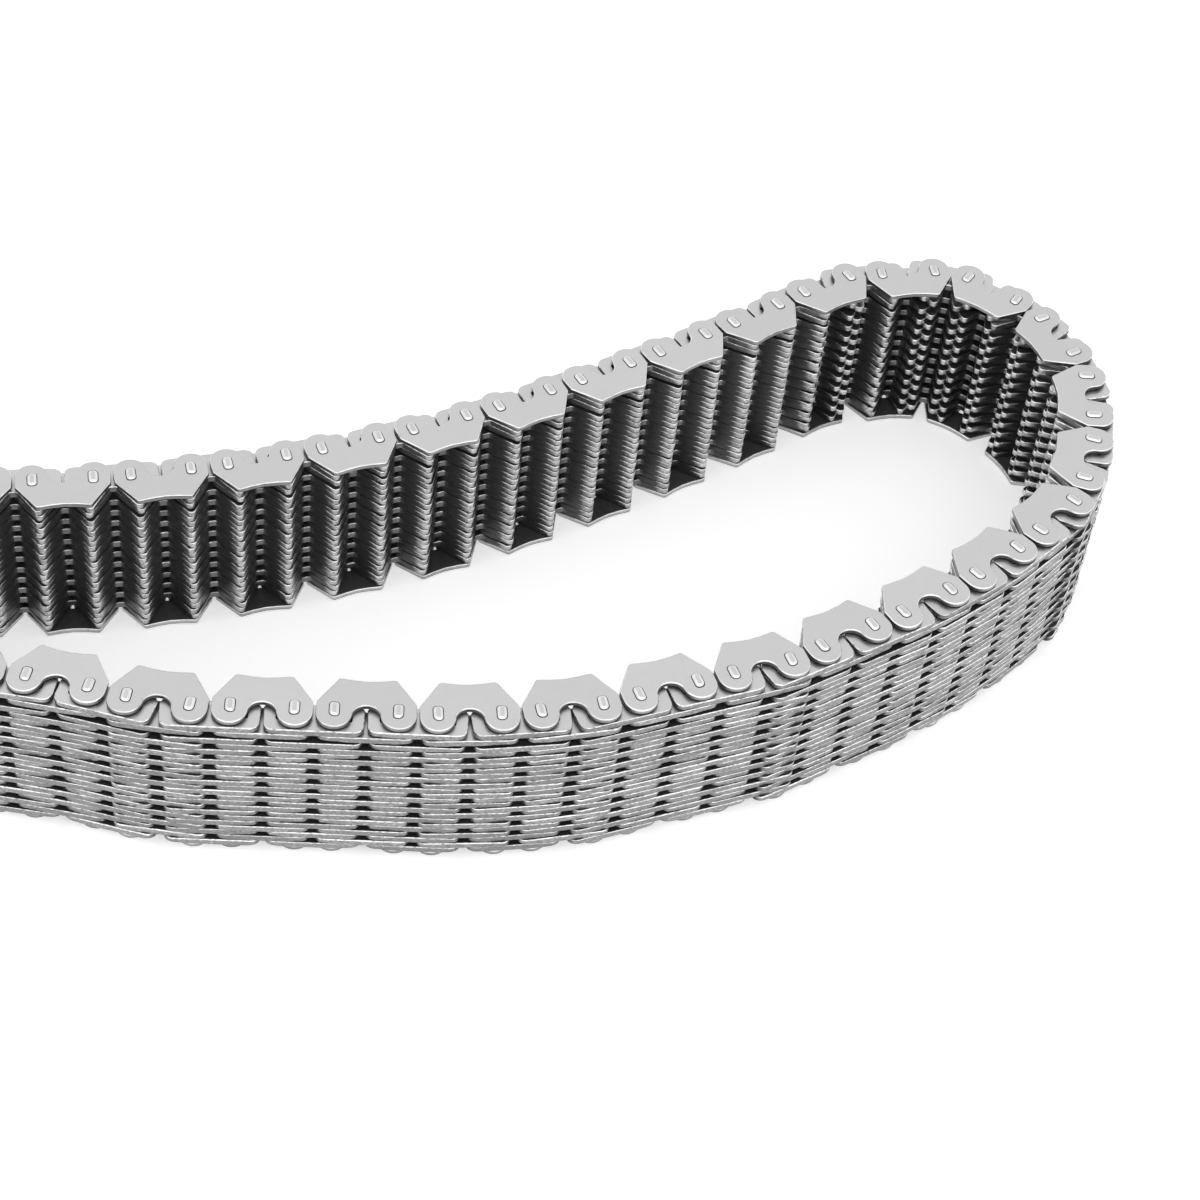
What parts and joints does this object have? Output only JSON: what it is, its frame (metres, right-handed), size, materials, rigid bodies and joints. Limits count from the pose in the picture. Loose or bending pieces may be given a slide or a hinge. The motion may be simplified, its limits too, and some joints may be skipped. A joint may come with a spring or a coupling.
{
  "type": "inverted-tooth silent chain",
  "caption": "Endless inverted-tooth silent chain with rocker joints, an open loop lying on its side, for driving a pump between two toothed sprockets.",
  "frame": {"origin": "middle of the loop's plan box, on the surface that the lower pin ends rest on", "axes": "+Z along the pins, up off the resting surface; +X along the loop towards the wide turn that the picture shows; +Y away from the camera, towards the loop's hollow side"},
  "size_m": [0.2638, 0.134, 0.0384],
  "materials": {
    "guide_link_steel": "satin tumbled carbon steel, lightly oiled, rolled edges",
    "inner_link_steel": "stamped carbon steel, brushed along the cut edges, oiled",
    "joint_pin_steel": "hardened and ground steel, riveted ends"
  },
  "bodies": {
    "held_links": {"held_guide_links": "guide_link_steel", "held_inner_links": "inner_link_steel"},
    "guide_link_01": {"guide_link_01": "guide_link_steel"},
    "inner_link_02": {"inner_link_02": "inner_link_steel"},
    "guide_link_03": {"guide_link_03": "guide_link_steel"},
    "inner_link_04": {"inner_link_04": "inner_link_steel"},
    "guide_link_05": {"guide_link_05": "guide_link_steel"},
    "inner_link_06": {"inner_link_06": "inner_link_steel"},
    "guide_link_07": {"guide_link_07": "guide_link_steel"},
    "inner_link_08": {"inner_link_08": "inner_link_steel"},
    "guide_link_09": {"guide_link_09": "guide_link_steel"},
    "inner_link_10": {"inner_link_10": "inner_link_steel"},
    "guide_link_11": {"guide_link_11": "guide_link_steel"},
    "inner_link_12": {"inner_link_12": "inner_link_steel"},
    "guide_link_13": {"guide_link_13": "guide_link_steel"},
    "inner_link_14": {"inner_link_14": "inner_link_steel"},
    "guide_link_15": {"guide_link_15": "guide_link_steel"},
    "inner_link_16": {"inner_link_16": "inner_link_steel"},
    "guide_link_17": {"guide_link_17": "guide_link_steel"},
    "inner_link_18": {"inner_link_18": "inner_link_steel"},
    "guide_link_19": {"guide_link_19": "guide_link_steel"},
    "inner_link_20": {"inner_link_20": "inner_link_steel"},
    "guide_link_21": {"guide_link_21": "guide_link_steel"},
    "inner_link_22": {"inner_link_22": "inner_link_steel"},
    "guide_link_23": {"guide_link_23": "guide_link_steel"},
    "inner_link_24": {"inner_link_24": "inner_link_steel"},
    "guide_link_25": {"guide_link_25": "guide_link_steel"},
    "inner_link_26": {"inner_link_26": "inner_link_steel"},
    "guide_link_27": {"guide_link_27": "guide_link_steel"},
    "inner_link_28": {"inner_link_28": "inner_link_steel"},
    "guide_link_29": {"guide_link_29": "guide_link_steel"},
    "inner_link_30": {"inner_link_30": "inner_link_steel"},
    "guide_link_31": {"guide_link_31": "guide_link_steel"},
    "inner_link_32": {"inner_link_32": "inner_link_steel"},
    "guide_link_33": {"guide_link_33": "guide_link_steel"},
    "inner_link_34": {"inner_link_34": "inner_link_steel"},
    "guide_link_35": {"guide_link_35": "guide_link_steel"},
    "inner_link_36": {"inner_link_36": "inner_link_steel"},
    "guide_link_37": {"guide_link_37": "guide_link_steel"},
    "inner_link_38": {"inner_link_38": "inner_link_steel"},
    "guide_link_39": {"guide_link_39": "guide_link_steel"},
    "inner_link_40": {"inner_link_40": "inner_link_steel"},
    "guide_link_41": {"guide_link_41": "guide_link_steel"},
    "inner_link_42": {"inner_link_42": "inner_link_steel"},
    "guide_link_43": {"guide_link_43": "guide_link_steel"},
    "inner_link_44": {"inner_link_44": "inner_link_steel"},
    "guide_link_45": {"guide_link_45": "guide_link_steel"},
    "inner_link_46": {"inner_link_46": "inner_link_steel"},
    "guide_link_47": {"guide_link_47": "guide_link_steel"},
    "inner_link_48": {"inner_link_48": "inner_link_steel"},
    "guide_link_49": {"guide_link_49": "guide_link_steel"},
    "inner_link_50": {"inner_link_50": "inner_link_steel"},
    "guide_link_51": {"guide_link_51": "guide_link_steel"},
    "inner_link_52": {"inner_link_52": "inner_link_steel"},
    "guide_link_53": {"guide_link_53": "guide_link_steel"},
    "inner_link_54": {"inner_link_54": "inner_link_steel"},
    "guide_link_55": {"guide_link_55": "guide_link_steel"},
    "inner_link_56": {"inner_link_56": "inner_link_steel"},
    "guide_link_57": {"guide_link_57": "guide_link_steel"},
    "inner_link_58": {"inner_link_58": "inner_link_steel"}
  },
  "joints": [
    {"name": "pivot_64", "type": "hinge", "parent": "held_links", "child": "guide_link_01", "pos_m": [-0.10731, -0.00308, 0.01921], "axis": [0, 0, 1], "range_deg": [-3.82, 3.9]},
    {"name": "pivot_01", "type": "hinge", "parent": "guide_link_01", "child": "inner_link_02", "pos_m": [-0.09779, -0.003, 0.01921], "axis": [0, 0, 1], "range_deg": [-4.13, 4.13]},
    {"name": "pivot_02", "type": "hinge", "parent": "inner_link_02", "child": "guide_link_03", "pos_m": [-0.08827, -0.00258, 0.01921], "axis": [0, 0, 1], "range_deg": [-4.82, 4.2]},
    {"name": "pivot_03", "type": "hinge", "parent": "guide_link_03", "child": "inner_link_04", "pos_m": [-0.07878, -0.00184, 0.01921], "axis": [0, 0, 1], "range_deg": [-4.1, 4.7]},
    {"name": "pivot_04", "type": "hinge", "parent": "inner_link_04", "child": "guide_link_05", "pos_m": [-0.06931, -0.00076, 0.01921], "axis": [0, 0, 1], "range_deg": [-3.9, 4.7]},
    {"name": "pivot_05", "type": "hinge", "parent": "guide_link_05", "child": "inner_link_06", "pos_m": [-0.05989, 0.00065, 0.01921], "axis": [0, 0, 1], "range_deg": [-4.19, 4.19]},
    {"name": "pivot_06", "type": "hinge", "parent": "inner_link_06", "child": "guide_link_07", "pos_m": [-0.05053, 0.00239, 0.01921], "axis": [0, 0, 1], "range_deg": [-2.74, 2.27]},
    {"name": "pivot_07", "type": "hinge", "parent": "guide_link_07", "child": "inner_link_08", "pos_m": [-0.04123, 0.00445, 0.01921], "axis": [0, 0, 1], "range_deg": [-2.95, 3.21]},
    {"name": "pivot_08", "type": "hinge", "parent": "inner_link_08", "child": "guide_link_09", "pos_m": [-0.03201, 0.00683, 0.01921], "axis": [0, 0, 1], "range_deg": [-4.84, 4.74]},
    {"name": "pivot_09", "type": "hinge", "parent": "guide_link_09", "child": "inner_link_10", "pos_m": [-0.02287, 0.00954, 0.01921], "axis": [0, 0, 1], "range_deg": [-2.85, 2.62]},
    {"name": "pivot_10", "type": "hinge", "parent": "inner_link_10", "child": "guide_link_11", "pos_m": [-0.01384, 0.01256, 0.01921], "axis": [0, 0, 1], "range_deg": [-3.2, 3.2]},
    {"name": "pivot_11", "type": "hinge", "parent": "guide_link_11", "child": "inner_link_12", "pos_m": [-0.00492, 0.0159, 0.01921], "axis": [0, 0, 1], "range_deg": [-4.96, 4.96]},
    {"name": "pivot_12", "type": "hinge", "parent": "inner_link_12", "child": "guide_link_13", "pos_m": [0.00388, 0.01954, 0.01921], "axis": [0, 0, 1], "range_deg": [-4.7, 4.8]},
    {"name": "pivot_13", "type": "hinge", "parent": "guide_link_13", "child": "inner_link_14", "pos_m": [0.01255, 0.02349, 0.01921], "axis": [0, 0, 1], "range_deg": [-4.63, 4.72]},
    {"name": "pivot_14", "type": "hinge", "parent": "inner_link_14", "child": "guide_link_15", "pos_m": [0.02114, 0.02759, 0.01921], "axis": [0, 0, 1], "range_deg": [-4.9, 4.9]},
    {"name": "pivot_15", "type": "hinge", "parent": "guide_link_15", "child": "inner_link_16", "pos_m": [0.02967, 0.03184, 0.01921], "axis": [0, 0, 1], "range_deg": [-4.8, 4.8]},
    {"name": "pivot_16", "type": "hinge", "parent": "inner_link_16", "child": "guide_link_17", "pos_m": [0.03812, 0.03624, 0.01921], "axis": [0, 0, 1], "range_deg": [-4.9, 5]},
    {"name": "pivot_17", "type": "hinge", "parent": "guide_link_17", "child": "inner_link_18", "pos_m": [0.04649, 0.04078, 0.01921], "axis": [0, 0, 1], "range_deg": [-4.99, 4.89]},
    {"name": "pivot_18", "type": "hinge", "parent": "inner_link_18", "child": "guide_link_19", "pos_m": [0.05478, 0.04547, 0.01921], "axis": [0, 0, 1], "range_deg": [-4.44, 4.74]},
    {"name": "pivot_19", "type": "hinge", "parent": "guide_link_19", "child": "inner_link_20", "pos_m": [0.06299, 0.05031, 0.01921], "axis": [0, 0, 1], "range_deg": [-4.8, 4.5]},
    {"name": "pivot_20", "type": "hinge", "parent": "inner_link_20", "child": "guide_link_21", "pos_m": [0.07111, 0.05529, 0.01921], "axis": [0, 0, 1], "range_deg": [-4.7, 4.7]},
    {"name": "pivot_21", "type": "hinge", "parent": "guide_link_21", "child": "inner_link_22", "pos_m": [0.07959, 0.05961, 0.01921], "axis": [0, 0, 1], "range_deg": [-4.61, 4.52]},
    {"name": "pivot_22", "type": "hinge", "parent": "inner_link_22", "child": "guide_link_23", "pos_m": [0.089, 0.0611, 0.01921], "axis": [0, 0, 1], "range_deg": [-4.81, 4.41]},
    {"name": "pivot_23", "type": "hinge", "parent": "guide_link_23", "child": "inner_link_24", "pos_m": [0.09849, 0.06193, 0.01921], "axis": [0, 0, 1], "range_deg": [-4.4, 4.8]},
    {"name": "pivot_24", "type": "hinge", "parent": "inner_link_24", "child": "guide_link_25", "pos_m": [0.10765, 0.0593, 0.01921], "axis": [0, 0, 1], "range_deg": [-4.31, 3.82]},
    {"name": "pivot_25", "type": "hinge", "parent": "guide_link_25", "child": "inner_link_26", "pos_m": [0.11525, 0.05357, 0.01921], "axis": [0, 0, 1], "range_deg": [-3.9, 4.4]},
    {"name": "pivot_26", "type": "hinge", "parent": "inner_link_26", "child": "guide_link_27", "pos_m": [0.12125, 0.04617, 0.01921], "axis": [0, 0, 1], "range_deg": [-4.84, 4.74]},
    {"name": "pivot_27", "type": "hinge", "parent": "guide_link_27", "child": "inner_link_28", "pos_m": [0.12527, 0.03754, 0.01921], "axis": [0, 0, 1], "range_deg": [-4.97, 4.97]},
    {"name": "pivot_28", "type": "hinge", "parent": "inner_link_28", "child": "guide_link_29", "pos_m": [0.12709, 0.02819, 0.01921], "axis": [0, 0, 1], "range_deg": [-1.95, 1.95]},
    {"name": "pivot_29", "type": "hinge", "parent": "guide_link_29", "child": "inner_link_30", "pos_m": [0.12659, 0.01868, 0.01921], "axis": [0, 0, 1], "range_deg": [-2.36, 1.96]},
    {"name": "pivot_30", "type": "hinge", "parent": "inner_link_30", "child": "guide_link_31", "pos_m": [0.12469, 0.00934, 0.01921], "axis": [0, 0, 1], "range_deg": [-4.7, 4.8]},
    {"name": "pivot_31", "type": "hinge", "parent": "guide_link_31", "child": "inner_link_32", "pos_m": [0.12144, 0.00039, 0.01921], "axis": [0, 0, 1], "range_deg": [-4.98, 4.98]},
    {"name": "pivot_32", "type": "hinge", "parent": "inner_link_32", "child": "guide_link_33", "pos_m": [0.11689, -0.00798, 0.01921], "axis": [0, 0, 1], "range_deg": [-4.8, 4.8]},
    {"name": "pivot_33", "type": "hinge", "parent": "guide_link_33", "child": "inner_link_34", "pos_m": [0.1101, -0.01466, 0.01921], "axis": [0, 0, 1], "range_deg": [-1.54, 1.65]},
    {"name": "pivot_34", "type": "hinge", "parent": "inner_link_34", "child": "guide_link_35", "pos_m": [0.10291, -0.0209, 0.01921], "axis": [0, 0, 1], "range_deg": [-4.52, 4.62]},
    {"name": "pivot_35", "type": "hinge", "parent": "guide_link_35", "child": "inner_link_36", "pos_m": [0.09535, -0.0267, 0.01921], "axis": [0, 0, 1], "range_deg": [-2.38, 2.86]},
    {"name": "pivot_36", "type": "hinge", "parent": "inner_link_36", "child": "guide_link_37", "pos_m": [0.08745, -0.03203, 0.01921], "axis": [0, 0, 1], "range_deg": [-1.58, 1.48]},
    {"name": "pivot_37", "type": "hinge", "parent": "guide_link_37", "child": "inner_link_38", "pos_m": [0.07925, -0.03686, 0.01921], "axis": [0, 0, 1], "range_deg": [-4.88, 4.98]},
    {"name": "pivot_38", "type": "hinge", "parent": "inner_link_38", "child": "guide_link_39", "pos_m": [0.07076, -0.04119, 0.01921], "axis": [0, 0, 1], "range_deg": [-4.99, 4.89]},
    {"name": "pivot_39", "type": "hinge", "parent": "guide_link_39", "child": "inner_link_40", "pos_m": [0.06227, -0.04551, 0.01921], "axis": [0, 0, 1], "range_deg": [-4.79, 4.69]},
    {"name": "pivot_40", "type": "hinge", "parent": "inner_link_40", "child": "guide_link_41", "pos_m": [0.05379, -0.04984, 0.01921], "axis": [0, 0, 1], "range_deg": [-2.51, 2.51]},
    {"name": "pivot_41", "type": "hinge", "parent": "guide_link_41", "child": "inner_link_42", "pos_m": [0.04463, -0.05246, 0.01921], "axis": [0, 0, 1], "range_deg": [-4.63, 4.63]},
    {"name": "pivot_42", "type": "hinge", "parent": "inner_link_42", "child": "guide_link_43", "pos_m": [0.03547, -0.05509, 0.01921], "axis": [0, 0, 1], "range_deg": [-4.73, 4.73]},
    {"name": "pivot_43", "type": "hinge", "parent": "guide_link_43", "child": "inner_link_44", "pos_m": [0.02632, -0.05771, 0.01921], "axis": [0, 0, 1], "range_deg": [-4.81, 4.71]},
    {"name": "pivot_44", "type": "hinge", "parent": "inner_link_44", "child": "guide_link_45", "pos_m": [0.01716, -0.06034, 0.01921], "axis": [0, 0, 1], "range_deg": [-4.8, 4.9]},
    {"name": "pivot_45", "type": "hinge", "parent": "guide_link_45", "child": "inner_link_46", "pos_m": [0.00774, -0.06175, 0.01921], "axis": [0, 0, 1], "range_deg": [-4.77, 4.37]},
    {"name": "pivot_46", "type": "hinge", "parent": "inner_link_46", "child": "guide_link_47", "pos_m": [-0.00175, -0.06249, 0.01921], "axis": [0, 0, 1], "range_deg": [-4.37, 4.77]},
    {"name": "pivot_47", "type": "hinge", "parent": "guide_link_47", "child": "inner_link_48", "pos_m": [-0.01128, -0.06258, 0.01921], "axis": [0, 0, 1], "range_deg": [-1.75, 2]},
    {"name": "pivot_48", "type": "hinge", "parent": "inner_link_48", "child": "guide_link_49", "pos_m": [-0.02079, -0.062, 0.01921], "axis": [0, 0, 1], "range_deg": [-4.39, 3.83]},
    {"name": "pivot_49", "type": "hinge", "parent": "guide_link_49", "child": "inner_link_50", "pos_m": [-0.03029, -0.06141, 0.01921], "axis": [0, 0, 1], "range_deg": [-4.41, 4.41]},
    {"name": "pivot_50", "type": "hinge", "parent": "inner_link_50", "child": "guide_link_51", "pos_m": [-0.0398, -0.06083, 0.01921], "axis": [0, 0, 1], "range_deg": [-2.32, 2.32]},
    {"name": "pivot_51", "type": "hinge", "parent": "guide_link_51", "child": "inner_link_52", "pos_m": [-0.04931, -0.06025, 0.01921], "axis": [0, 0, 1], "range_deg": [-2.18, 2.5]},
    {"name": "pivot_52", "type": "hinge", "parent": "inner_link_52", "child": "guide_link_53", "pos_m": [-0.05881, -0.05967, 0.01921], "axis": [0, 0, 1], "range_deg": [-4.18, 4.55]},
    {"name": "pivot_53", "type": "hinge", "parent": "guide_link_53", "child": "inner_link_54", "pos_m": [-0.06818, -0.05793, 0.01921], "axis": [0, 0, 1], "range_deg": [-4.9, 4.5]},
    {"name": "pivot_54", "type": "hinge", "parent": "inner_link_54", "child": "guide_link_55", "pos_m": [-0.07726, -0.05507, 0.01921], "axis": [0, 0, 1], "range_deg": [-4.03, 4.03]},
    {"name": "pivot_55", "type": "hinge", "parent": "guide_link_55", "child": "inner_link_56", "pos_m": [-0.08653, -0.05285, 0.01921], "axis": [0, 0, 1], "range_deg": [-2.47, 2.05]},
    {"name": "pivot_56", "type": "hinge", "parent": "inner_link_56", "child": "guide_link_57", "pos_m": [-0.09586, -0.05095, 0.01921], "axis": [0, 0, 1], "range_deg": [-2.96, 2.62]},
    {"name": "pivot_57", "type": "hinge", "parent": "guide_link_57", "child": "inner_link_58", "pos_m": [-0.10525, -0.04937, 0.01921], "axis": [0, 0, 1], "range_deg": [-3.86, 3.78]}
  ],
  "couplings": [
    {"joint": "pivot_64", "follows": "pivot_30", "ratio": 0.81171},
    {"joint": "pivot_26", "follows": "pivot_30", "ratio": -1.0078},
    {"joint": "pivot_57", "follows": "pivot_30", "ratio": -0.80389},
    {"joint": "pivot_01", "follows": "pivot_20", "ratio": -0.87762},
    {"joint": "pivot_31", "follows": "pivot_20", "ratio": -1.0587},
    {"joint": "pivot_49", "follows": "pivot_20", "ratio": 0.93633},
    {"joint": "pivot_02", "follows": "pivot_03", "ratio": -1.024},
    {"joint": "pivot_47", "follows": "pivot_03", "ratio": 0.4247},
    {"joint": "pivot_48", "follows": "pivot_03", "ratio": -0.93201},
    {"joint": "pivot_51", "follows": "pivot_03", "ratio": 0.53134},
    {"joint": "pivot_06", "follows": "pivot_04", "ratio": -0.58166},
    {"joint": "pivot_29", "follows": "pivot_04", "ratio": -0.50131},
    {"joint": "pivot_35", "follows": "pivot_04", "ratio": 0.60791},
    {"joint": "pivot_55", "follows": "pivot_04", "ratio": -0.52494},
    {"joint": "pivot_05", "follows": "pivot_32", "ratio": 0.87247},
    {"joint": "pivot_27", "follows": "pivot_32", "ratio": -1.0334},
    {"joint": "pivot_54", "follows": "pivot_32", "ratio": -0.83904},
    {"joint": "pivot_07", "follows": "pivot_53", "ratio": -0.65348},
    {"joint": "pivot_09", "follows": "pivot_53", "ratio": 0.58034},
    {"joint": "pivot_52", "follows": "pivot_53", "ratio": -0.92686},
    {"joint": "pivot_08", "follows": "pivot_44", "ratio": -0.98649},
    {"joint": "pivot_13", "follows": "pivot_44", "ratio": 0.9632},
    {"joint": "pivot_39", "follows": "pivot_44", "ratio": -0.97671},
    {"joint": "pivot_11", "follows": "pivot_10", "ratio": -1.5489},
    {"joint": "pivot_28", "follows": "pivot_10", "ratio": 0.60732},
    {"joint": "pivot_40", "follows": "pivot_10", "ratio": -0.78311},
    {"joint": "pivot_50", "follows": "pivot_10", "ratio": 0.7247},
    {"joint": "pivot_21", "follows": "pivot_12", "ratio": -0.95986},
    {"joint": "pivot_34", "follows": "pivot_12", "ratio": 0.96065},
    {"joint": "pivot_43", "follows": "pivot_12", "ratio": -1.0008},
    {"joint": "pivot_14", "follows": "pivot_15", "ratio": -1.0208},
    {"joint": "pivot_41", "follows": "pivot_15", "ratio": -0.96356},
    {"joint": "pivot_42", "follows": "pivot_15", "ratio": 0.98437},
    {"joint": "pivot_17", "follows": "pivot_16", "ratio": -0.99703},
    {"joint": "pivot_37", "follows": "pivot_16", "ratio": 0.9948},
    {"joint": "pivot_38", "follows": "pivot_16", "ratio": -0.99777},
    {"joint": "pivot_18", "follows": "pivot_19", "ratio": -0.98574},
    {"joint": "pivot_33", "follows": "pivot_19", "ratio": -0.34189},
    {"joint": "pivot_36", "follows": "pivot_19", "ratio": 0.32762},
    {"joint": "pivot_22", "follows": "pivot_23", "ratio": -1.0007},
    {"joint": "pivot_45", "follows": "pivot_23", "ratio": -0.99243},
    {"joint": "pivot_46", "follows": "pivot_23", "ratio": 0.99315},
    {"joint": "pivot_24", "follows": "pivot_25", "ratio": -0.9794},
    {"joint": "pivot_56", "follows": "pivot_25", "ratio": -0.67068}
  ]
}
